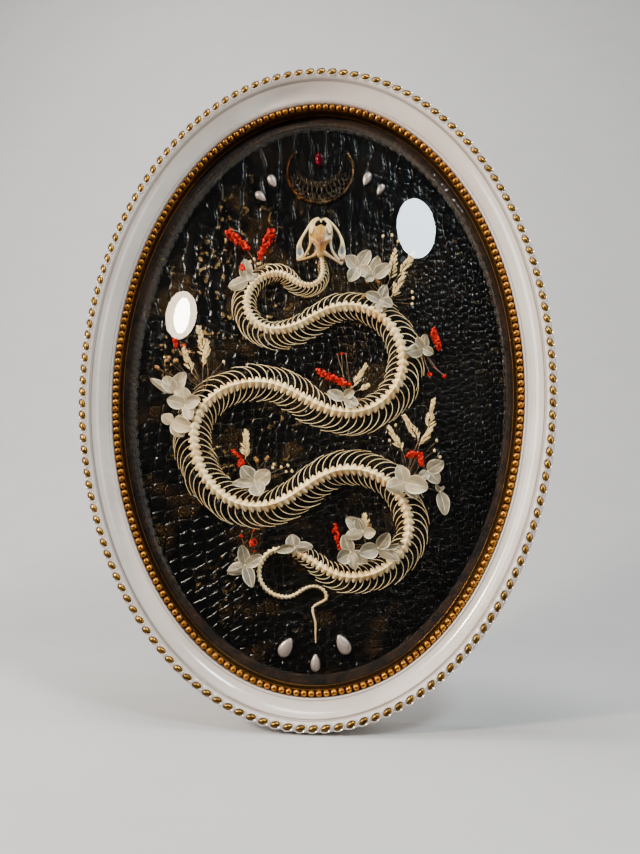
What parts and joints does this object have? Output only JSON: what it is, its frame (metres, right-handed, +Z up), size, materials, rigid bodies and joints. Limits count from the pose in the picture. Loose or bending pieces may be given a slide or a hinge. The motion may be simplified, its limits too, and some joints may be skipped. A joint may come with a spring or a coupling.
{
  "type": "framed snake skeleton",
  "caption": "Snake skeleton in S-bends on embossed leather with dried flowers and pearls, behind domed glass in an oval cove frame that hangs on a wall.",
  "frame": {"origin": "centre of the backing board's rear face, on the wall plane", "axes": "+Z up the long axis of the oval, +X to the viewer's right, +Y back into the wall"},
  "size_m": [0.325, 0.0407, 0.456],
  "materials": {
    "white_paint": "glossy warm white paint on turned wood, worn gilt on the rim's eggs",
    "gilt": "aged gilding",
    "clear_glass": "clear domed glass",
    "black_card": "matt",
    "black_leather": "glossy scale-embossed leather with worn gold foil",
    "board": "plain hardboard",
    "steel": "plated",
    "bone": "dry ivory bone with tan stains",
    "dried_petals": "dry translucent petals, with red florets and cream sprigs",
    "pearl": "pearl lustre",
    "antique_brass": "antiqued, with bright gold edges",
    "red_glass": "faceted red glass"
  },
  "bodies": {
    "root": {"backing_board": "board", "bead_slip": "gilt", "crescent": "antique_brass", "frame_moulding": "white_paint", "gem": "red_glass", "glass_dome": "clear_glass", "jaw_left": "bone", "jaw_right": "bone", "keyhole_plate": "steel", "leather_panel": "black_leather", "neck_left": "bone", "neck_right": "bone", "pearl_bottom_left": "pearl", "pearl_bottom_middle": "pearl", "pearl_bottom_right": "pearl", "pearl_top_left_1": "pearl", "pearl_top_left_2": "pearl", "pearl_top_right_1": "pearl", "pearl_top_right_2": "pearl", "posy_beside_head": "dried_petals", "posy_left_flank": "dried_petals", "posy_left_loop": "dried_petals", "posy_lower_left": "dried_petals", "posy_lower_loop": "dried_petals", "posy_right_flank": "dried_petals", "posy_right_flank_low": "dried_petals", "posy_tail_root": "dried_petals", "posy_upper_left": "dried_petals", "posy_upper_loop": "dried_petals", "skull": "bone", "spacer_ring": "black_card", "tail": "bone", "trunk_1_left": "bone", "trunk_1_right": "bone", "trunk_2_left": "bone", "trunk_2_right": "bone", "trunk_3_left": "bone", "trunk_3_right": "bone", "trunk_4_left": "bone", "trunk_4_right": "bone", "trunk_5_left": "bone", "trunk_5_right": "bone", "trunk_6_left": "bone", "trunk_6_right": "bone", "trunk_7_left": "bone", "trunk_7_right": "bone"}
  },
  "joints": []
}
